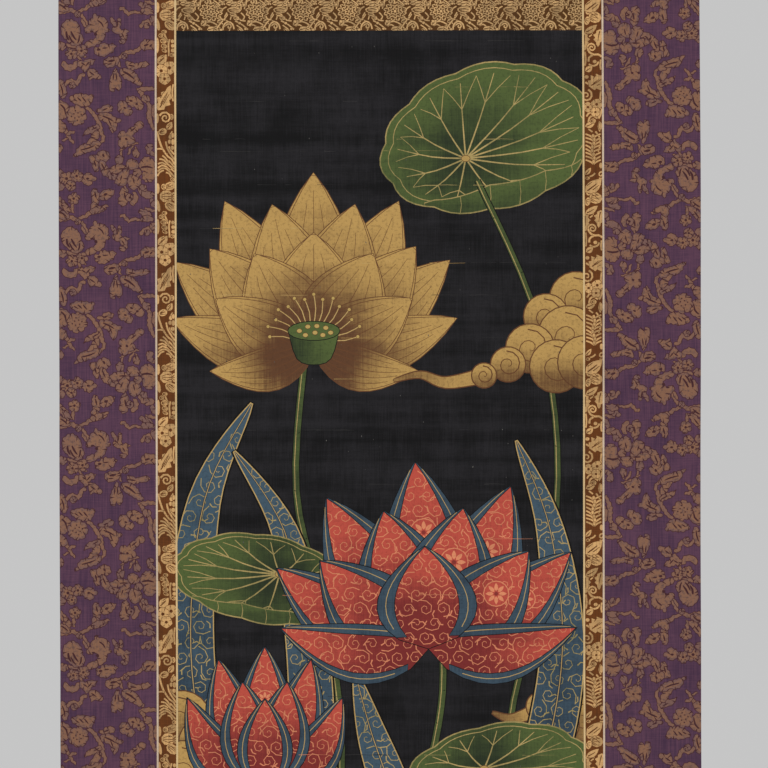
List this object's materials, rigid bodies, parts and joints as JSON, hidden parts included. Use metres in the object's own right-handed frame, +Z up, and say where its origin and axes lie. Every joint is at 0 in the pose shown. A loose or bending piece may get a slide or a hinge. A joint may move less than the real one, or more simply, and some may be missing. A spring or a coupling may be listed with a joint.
{
  "type": "buddhist hanging scroll",
  "caption": "Hanging scroll: a painted dark silk panel in a mounting of patterned silk borders and pale fillets, hung flat, with its foot wound on a roller.",
  "frame": {"origin": "middle of the scroll's top edge, where it hangs", "axes": "+X to the right of a person who faces the scroll, +Y towards the wall behind it, +Z up"},
  "size_m": [0.6956, 0.0394, 1.7499],
  "materials": {
    "painted_silk": "near-black painted silk with gold, vermilion, green and blue pigment, rubbed and creased",
    "gold_brocade": "brown silk woven all over with pale gold scrolls and round blossoms",
    "brown_brocade": "brown silk woven with pale gold vines, blooms and ferns",
    "purple_brocade": "muted purple silk woven with copper-gold peonies, leaves and blossoms",
    "pale_gold_silk": "narrow strip of pale gold silk",
    "cream_silk": "narrow strip of cream silk",
    "lacquered_wood": "plain turned wood, dark brown lacquer"
  },
  "bodies": {
    "root": {"painting": "painted_silk", "top_strip": "gold_brocade", "bottom_strip": "gold_brocade", "inner_border_top": "brown_brocade", "inner_border_bottom": "brown_brocade", "inner_border_left": "brown_brocade", "inner_border_right": "brown_brocade", "outer_border_top": "purple_brocade", "outer_border_bottom": "purple_brocade", "outer_border_left": "purple_brocade", "outer_border_right": "purple_brocade", "inner_fillet_top": "pale_gold_silk", "inner_fillet_bottom": "pale_gold_silk", "inner_fillet_left": "pale_gold_silk", "inner_fillet_right": "pale_gold_silk", "outer_fillet_top": "cream_silk", "outer_fillet_bottom": "cream_silk", "outer_fillet_left": "cream_silk", "outer_fillet_right": "cream_silk", "knob_left": "lacquered_wood", "knob_right": "lacquered_wood"}
  },
  "joints": []
}
